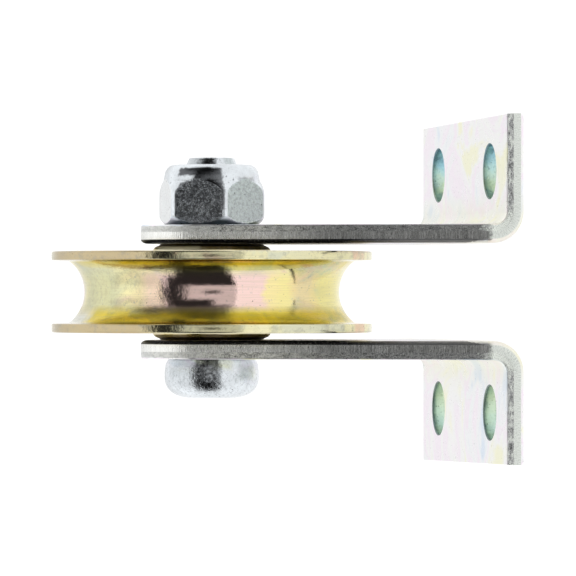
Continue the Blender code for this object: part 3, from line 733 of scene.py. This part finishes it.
def bolt_mesh():
    steps = 192
    verts, faces = [], []
    rings = []

    def ring(fn):
        ids = []
        for k in range(steps):
            a = math.tau * k / steps
            r, x = fn(a)
            ids.append(len(verts))
            verts.append(place(r, x, a))
        rings.append(ids)

    tip = 25.1
    centre_tip = len(verts)
    verts.append(place(0, tip - 0.06, 0))
    for r, x in ((1.2, tip - 0.05), (2.6, tip - 0.02), (3.85, tip), (4.1, tip - 0.03), (4.23, tip - 0.12)):
        ring(lambda a, r=r, x=x: (r, x))
    # chamfered end and thread: the thread fades into the chamfer
    n = 150
    x_hi, x_lo = tip - 0.2, 13.2
    for i in range(n + 1):
        x = x_hi - (x_hi - x_lo) * i / n

        def fn(a, x=x):
            ph = (x / PITCH - a / math.tau) % 1.0
            tri = abs(ph - 0.5) * 2.0                      # 1 at the root, 0 at the crest
            depth = min(1.0, max(0.0, (tri - 0.12) / 0.76))
            thread = 5.92 - 0.92 * depth
            lead = 4.3 + (tip - 0.2 - x) * 0.42
            return min(thread, lead), x
        ring(fn)
    shank = [(5.96, 12.9), (6.0, 12.3), (6.0, -12.2), (6.0, -12.49), (7.9, -12.49), (8.1, -12.55), (8.35, -12.85),
             (8.62, -13.4), (8.78, -14.1), (8.86, -15.0), (8.87, -15.9), (8.82, -16.6), (8.66, -17.3), (8.35, -17.95),
             (7.9, -18.5), (7.35, -18.95), (6.7, -19.3), (5.95, -19.58), (5.25, -19.74), (5.0, -19.79)]
    for r, x in shank:
        ring(lambda a, r=r, x=x: (r, x))
    ring(lambda a: (socket_r(0, 0, a) + 0.25, -19.8))
    ring(lambda a: (socket_r(0, 0, a) + 0.06, -19.72))
    ring(lambda a: (socket_r(0, 0, a), -19.55))
    ring(lambda a: (socket_r(0, 0, a), -16.5))
    ring(lambda a: (3.6, -16.35))
    centre = len(verts)
    verts.append(place(0, -15.4, 0))
    for p, q in zip(rings, rings[1:]):
        for k in range(steps):
            j = (k + 1) % steps
            faces.append((p[k], p[j], q[j], q[k]))
    for k in range(steps):
        j = (k + 1) % steps
        faces.append((centre_tip, rings[0][j], rings[0][k]))
        faces.append((rings[-1][k], rings[-1][j], centre))
    return verts, faces


v, f = bolt_mesh()
finish_mesh("bolt_threaded", v, f, [MAT["bolt"]], "frame", ["pivot_bolt"], 40)

# ------------------------------------------------------------------ lock nut
NUT_TURN = math.radians(27)      # the face nearest the camera looks this way
N0, N1 = 12.53, 23.8


def smooth_min(a, b, k):
    h = max(0.0, k - abs(a - b)) / k
    return min(a, b) - h * h * k * 0.25


def nut_radius(r, x, a):
    k = (a - NUT_TURN + math.pi / 6) % (math.pi / 3) - math.pi / 6
    flat = 9.0 / math.cos(k)
    corner_r = 10.22
    flat = smooth_min(flat, corner_r, 0.22)
    return smooth_min(r, flat, 0.16)


outer = [(6.75, 23.62), (6.8, 23.75), (6.95, 23.8), (7.35, 23.78), (7.75, 23.65), (8.15, 23.38), (8.46, 23.0),
         (8.68, 22.55), (8.83, 22.05), (8.94, 21.5), (9.01, 21.05), (9.1, 20.7)]
# the domed chamfer over the hexagon, then its skirt
n = 36
for i in range(1, n + 1):
    t = i / n
    outer.append((9.1 + 1.32 * math.sin(t * math.pi / 2) ** 0.92, 20.7 - t * 3.6))
m_ = 14
for i in range(1, m_ + 1):
    outer.append((10.42, 17.1 - 2.5 * i / m_))
for i in range(1, m_ + 1):
    t = i / m_
    outer.append((10.42 - 1.6 * t ** 1.5, 14.6 - 1.95 * t))
outer += [(8.75, 12.57), (8.6, N0)]


def nut_mesh():
    steps = 420
    verts, faces, rings = [], [], []

    def ring(r, x, fn=None):
        ids = []
        for k in range(steps):
            a = math.tau * k / steps
            ids.append(len(verts))
            verts.append(place(fn(r, x, a) if fn else r, x, a))
        rings.append(ids)
    for r, x in outer:
        ring(r, x, nut_radius if 12.6 < x < 20.95 else None)
    # bearing face, bore with the lead-in, recess and the lip that holds the insert
    for r, x in ((6.5, N0), (5.95, N0 + 0.55), (5.3, N0 + 1.0), (5.3, 20.2), (7.7, 20.25), (7.7, 23.1), (6.85, 23.15),
                 (6.75, 23.25)):
        ring(r, x)
    for p, q in list(zip(rings, rings[1:])) + [(rings[-1], rings[0])]:
        for k in range(steps):
            j = (k + 1) % steps
            faces.append((p[k], p[j], q[j], q[k]))
    # the six flats take their own material, which carries painted reflections and a painted highlight
    flats = []
    for face in faces:
        dull = 0
        c = [sum(verts[i][n_] for i in face) / 4 / MM for n_ in range(3)]
        if 12.7 < c[0] < 20.9:
            a = math.atan2(c[2] - AXIS_Z, -c[1])
            k = (a - NUT_TURN + math.pi / 6) % (math.pi / 3) - math.pi / 6
            if math.hypot(c[1], c[2] - AXIS_Z) * math.cos(k) > 8.955 and abs(k) < math.radians(27.0):
                dull = 1
        flats.append(dull)
    return verts, faces, flats


v, f, fm_ = nut_mesh()
finish_mesh("nut_forged", v, f, [MAT["nut"], MAT["nut_flat"]], "frame", ["lock_nut"], 50, fm_)
revolve("insert_moulded", rounded([(7.6, 23.0), (7.6, 20.4), (5.55, 20.4), (5.55, 23.0)], 0.25), 96, MAT["nylon"],
        "frame", ["nut_insert"])

# ------------------------------------------------------------------ folded brackets
SHEET, ARM_IN, BEND_R, FLARE_Z = 3.5, 9.0, 5.8, 7.0
S_FLARE = BEND_R - FLARE_Z                      # where the arm reaches the foot's full width
FOOT_W, FOOT_END, SKEW, END_R = 67.0, 32.3, 0.5, 13.3
S_B = (BEND_R - SHEET / 2) * math.pi / 2        # developed length of the fold


def fold(y, s, t, sign):
    """A point of the flat plate (y, s along, t through) to its place on the folded one."""
    if s <= 0:
        x, z = ARM_IN + t, BEND_R - s
    elif s >= S_B:
        x, z = ARM_IN + BEND_R + (s - S_B), t
    else:
        a = s / S_B * math.pi / 2
        rho = BEND_R - t
        x = ARM_IN + BEND_R - rho * math.cos(a)
        z = BEND_R - rho * math.sin(a)
    return (sign * x * MM, sign * y * MM, z * MM)


def plate_outline():
    hw = FOOT_W / 2
    dz = AXIS_Z - FLARE_Z
    slope = math.atan2(hw, dz) - math.asin(END_R / math.hypot(hw, dz))
    end = S_B + FOOT_END - (ARM_IN + BEND_R)
    pts = [(-hw, end + SKEW), (hw, end - SKEW)]

    def run(p, q, n):
        return [(p[0] + (q[0] - p[0]) * i / n, p[1] + (q[1] - p[1]) * i / n) for i in range(1, n)]
    out = [pts[0]] + run(pts[0], pts[1], 12) + [pts[1]]
    out += run(pts[1], (hw, S_FLARE), 14) + [(hw, S_FLARE)]
    arcp = []
    n = 48
    for i in range(n + 1):
        a = slope + (math.pi - 2 * slope) * i / n
        arcp.append((END_R * math.cos(a), BEND_R - AXIS_Z - END_R * math.sin(a)))
    out += run((hw, S_FLARE), arcp[0], 16) + arcp + run(arcp[-1], (-hw, S_FLARE), 16) + [(-hw, S_FLARE)]
    out += run((-hw, S_FLARE), pts[0], 14)
    return out


def circle(cy, cs, r, n):
    return [(cy + r * math.cos(-math.tau * i / n), cs + r * math.sin(-math.tau * i / n)) for i in range(n)]


def signed_area(p):
    return sum(a[0] * b[1] - b[0] * a[1] for a, b in zip(p, p[1:] + p[:1])) / 2


def inset(poly, d):
    """Moves a loop into the plate's material by d, with mitred corners."""
    out = []
    n = len(poly)
    for i in range(n):
        a, p, b = Vector(poly[i - 1]), Vector(poly[i]), Vector(poly[(i + 1) % n])
        u, w = (p - a).normalized(), (b - p).normalized()
        n0, n1 = Vector((-u.y, u.x)), Vector((-w.y, w.x))
        k = (n0 + n1)
        k = k / max(0.3, k.length_squared / 2)
        out.append((p.x + k.x * d, p.y + k.y * d))
    return out


def bracket(side, sign):
    outline = plate_outline()
    if signed_area(outline) < 0:
        outline = outline[::-1]
    loops = [("edge", outline), ("bore", circle(0, BEND_R - AXIS_Z, 6.2, 64))]
    hole_s = S_B + 22.4 - (ARM_IN + BEND_R)
    for y in (-20.5, 20.5):
        loops.append(("hole", circle(y, hole_s, 5.0, 56)))
    loops = [(k, p if k == "edge" else (p if signed_area(p) < 0 else p[::-1])) for k, p in loops]
    # the sheared edge through the thickness: rolled corner, burnished band, torn band, burr
    section = [(1.25, 0.0), (0.95, 0.035), (0.68, 0.11), (0.43, 0.23), (0.22, 0.38), (0.08, 0.55), (0.0, 0.76),
               (0.0, 1.4), (0.0, 2.15),
               (0.03, 2.3), (0.05, 2.8), (0.07, 3.25), (0.13, 3.42), (0.26, 3.5)]
    hole_sec = [(0.35, 0.0), (0.16, 0.06), (0.04, 0.17), (0.0, 0.32), (0.0, 1.3), (0.0, 2.3), (0.0, 3.2),
                (0.05, 3.38), (0.14, 3.46), (0.25, 3.5)]
    bm = bmesh.new()
    uvl = bm.loops.layers.uv.new("UVMap")
    caps = {0: [], 1: []}
    for kind, loop in loops:
        sec = section if kind == "edge" else hole_sec
        length = [0.0]
        for a, b in zip(loop, loop[1:] + loop[:1]):
            length.append(length[-1] + math.dist(a, b))
        rings = []
        for d, t in sec:
            ring = []
            for i, (y, s) in enumerate(inset(loop, d)):
                # the torn band wanders a little along the edge
                wob = 0.0
                if kind == "edge" and 2.2 < t < 3.4:
                    w = length[i]
                    wob = 0.035 * math.sin(w * 1.9) + 0.03 * math.sin(w * 4.3 + 1.0)
                ring.append(bm.verts.new((y, s, t + wob)))
            rings.append(ring)
        n = len(loop)
        for k, (p, q) in enumerate(zip(rings, rings[1:])):
            t0, t1 = sec[k][1], sec[k + 1][1]
            for i in range(n):
                j = (i + 1) % n
                face = bm.faces.new((p[i], p[j], q[j], q[i]))
                if kind == "edge":
                    straight = loop[i][1] > S_FLARE + 0.1 or loop[j][1] > S_FLARE + 0.1
                    if t0 >= 0.03 and t1 <= 0.8 and not straight:
                        face.material_index = 5
                    elif t1 <= 0.8:
                        face.material_index = 0
                    elif t1 <= 2.2:
                        face.material_index = 2 if straight else 1
                    elif t1 <= 3.4:
                        face.material_index = 3
                    else:
                        face.material_index = 0
                elif kind == "hole":
                    face.material_index = 4
                else:
                    face.material_index = 1
                for lp, (u, v) in zip(face.loops, ((length[i], t0), (length[i + 1], t0), (length[i + 1], t1),
                                                   (length[i], t1))):
                    lp[uvl].uv = (u, v)
        for c, ring in ((0, rings[0]), (1, rings[-1])):
            for i in range(n):
                e = bm.edges.get((ring[i], ring[(i + 1) % n]))
                caps[c].append(e)
    for c in (0, 1):
        bmesh.ops.triangle_fill(bm, use_beauty=True, use_dissolve=False, edges=caps[c])
    # cut lines across the fold, so that it bends smoothly
    cuts = 18
    for i in range(cuts + 1):
        bmesh.ops.bisect_plane(bm, geom=bm.verts[:] + bm.edges[:] + bm.faces[:], dist=1e-5,
                               plane_co=(0, S_B * i / cuts, 0), plane_no=(0, 1, 0))
    for vtx in bm.verts:
        vtx.co = fold(vtx.co.x, vtx.co.y, vtx.co.z, sign)
    bmesh.ops.recalc_face_normals(bm, faces=bm.faces)
    name = "plate_folded_" + side
    mesh = bpy.data.meshes.new(name)
    bm.to_mesh(mesh)
    bm.free()
    for k in ("plate", "burnish", "burnish_foot", "fracture", "hole", "roll"):
        mesh.materials.append(MAT[k])
    mesh.shade_smooth()
    mesh.set_sharp_from_angle(angle=math.radians(38))
    obj = bpy.data.objects.new(name, mesh)
    pieces_coll.objects.link(obj)
    wn = obj.modifiers.new("weighted_normals", "WEIGHTED_NORMAL")
    wn.keep_sharp = True
    wn.weight = 80
    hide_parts("bracket_" + side)
    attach(obj, "frame")
    return obj


bracket("nut_side", 1)
bracket("head_side", -1)

# ------------------------------------------------------------------ floor and light
floor_mesh = bpy.data.meshes.new("floor")
bm = bmesh.new()
bmesh.ops.create_grid(bm, x_segments=1, y_segments=1, size=3.0)
bmesh.ops.translate(bm, verts=bm.verts, vec=(0.0, 3.0 - 0.24, 0.0))
bm.to_mesh(floor_mesh)
bm.free()
floor = bpy.data.objects.new("floor", floor_mesh)
scene.collection.objects.link(floor)
floor.location.z = -0.00002
fm = Mat("floor_white")
fm.p.inputs["Base Color"].default_value = (0.30, 0.30, 0.30, 1)
fm.p.inputs["Roughness"].default_value = 0.9
fm.p.inputs["Specular IOR Level"].default_value = 0.0
fm.p.inputs["Emission Color"].default_value = (1, 1, 1, 1)
seen = fm.node("ShaderNodeLightPath").outputs["Is Camera Ray"]
fm.put(fm.remap(seen, 0.0, 1.0, 0.80, 0.92), fm.p.inputs["Emission Strength"])
floor_mesh.materials.append(fm.m)

world = bpy.data.worlds.new("studio")
scene.world = world
world.use_nodes = True
wt = world.node_tree
wt.nodes.clear()


def wnode(kind, **kw):
    n = wt.nodes.new(kind)
    for k, v in kw.items():
        setattr(n, k, v)
    return n


def wmath(op, a, b=0.0, clamp=False):
    n = wnode("ShaderNodeMath", operation=op, use_clamp=clamp)
    for v, s in ((a, n.inputs[0]), (b, n.inputs[1])):
        if hasattr(v, "links"):
            wt.links.new(v, s)
        else:
            s.default_value = v
    return n.outputs[0]


def wstep(v, lo, hi):
    n = wnode("ShaderNodeMapRange")
    n.interpolation_type = "SMOOTHSTEP"
    wt.links.new(v, n.inputs[0])
    n.inputs[1].default_value = lo
    n.inputs[2].default_value = hi
    return n.outputs[0]


geo = wnode("ShaderNodeTexCoord")
sep = wnode("ShaderNodeSeparateXYZ")
wt.links.new(geo.outputs["Generated"], sep.inputs[0])
wx, wy, wz = sep.outputs
az = wmath("ARCTAN2", wz, wmath("MULTIPLY", wy, -1.0))        # from -Y towards +Z
el = wmath("ABSOLUTE", wmath("ARCSINE", wx))
# a dark studio wall in front, with softboxes all round it
D = math.radians
esign = wmath("ARCSINE", wx)
dark = wmath("MULTIPLY", wstep(az, D(-12.5), D(-11)), wmath("SUBTRACT", 1.0, wstep(az, D(57.3), D(59))))
top = wmath("MULTIPLY", wstep(az, D(-12.5), D(-11)), wmath("SUBTRACT", 1.0, wstep(az, D(92), D(99))))
top = wmath("MULTIPLY", top, wmath("MULTIPLY", wstep(esign, D(33), D(44)), 0.85))
dark = wmath("MAXIMUM", dark, top)
dark = wmath("MULTIPLY", dark, wmath("MULTIPLY", wstep(esign, D(-84), D(-78)),
                                     wmath("SUBTRACT", 1.0, wstep(esign, D(80), D(86)))))
slot_a = wmath("SUBTRACT", 1.0, wstep(az, D(33), D(35.5)))
slot_a = wmath("MULTIPLY", slot_a, wmath("MULTIPLY", wstep(esign, D(-20), D(-17.5)),
                                         wmath("SUBTRACT", 1.0, wstep(esign, D(20), D(22.5)))))
bar = wmath("MULTIPLY", wstep(az, D(2), D(6)), wmath("SUBTRACT", 1.0, wstep(az, D(16), D(20))))
bar = wmath("MULTIPLY", bar, wmath("MULTIPLY", wstep(esign, D(-6.5), D(-3.5)),
                                   wmath("SUBTRACT", 1.0, wstep(esign, D(3.5), D(6.5)))))
slot_a = wmath("MULTIPLY", slot_a, wmath("SUBTRACT", 1.0, wmath("MULTIPLY", bar, 0.9)))
slot_b = wmath("MULTIPLY", wmath("SUBTRACT", 1.0, wstep(az, D(7), D(12))),
               wmath("MULTIPLY", wstep(esign, D(18), D(20)), wmath("SUBTRACT", 1.0, wstep(esign, D(36), D(42)))))
slot_a = wmath("MAXIMUM", slot_a, slot_b)
dark = wmath("MULTIPLY", dark, wmath("SUBTRACT", 1.0, wmath("MULTIPLY", slot_a, 0.54)))
# a half-lit wall over the part, and a dimmer backdrop behind it
over = wmath("MULTIPLY", wstep(az, D(60), D(66)), wmath("SUBTRACT", 1.0, wstep(az, D(112), D(122))))
over = wmath("MULTIPLY", over, wmath("MULTIPLY", wstep(el, D(12), D(18)), wmath("SUBTRACT", 1.0, wstep(el, D(46), D(54)))))
behind = wstep(wmath("MULTIPLY", wy, wmath("COSINE", wmath("MULTIPLY", el, 1.0))), 0.55, 0.98)
level = wmath("SUBTRACT", 1.1, wmath("MULTIPLY", dark, 1.075))
level = wmath("SUBTRACT", level, wmath("MULTIPLY", over, 0.22))
level = wmath("SUBTRACT", level, wmath("MULTIPLY", behind, 0.22))
bg = wnode("ShaderNodeBackground")
bg.inputs["Color"].default_value = (1, 1, 1, 1)
lp = wnode("ShaderNodeLightPath")
mixn = wnode("ShaderNodeMix", data_type="FLOAT")
wt.links.new(lp.outputs["Is Camera Ray"], mixn.inputs[0])
wt.links.new(level, mixn.inputs[2])
mixn.inputs[3].default_value = 1.0
wt.links.new(mixn.outputs[0], bg.inputs["Strength"])
out = wnode("ShaderNodeOutputWorld")
wt.links.new(bg.outputs[0], out.inputs[0])

scene.view_settings.view_transform = "Standard"
scene.view_settings.look = "None"
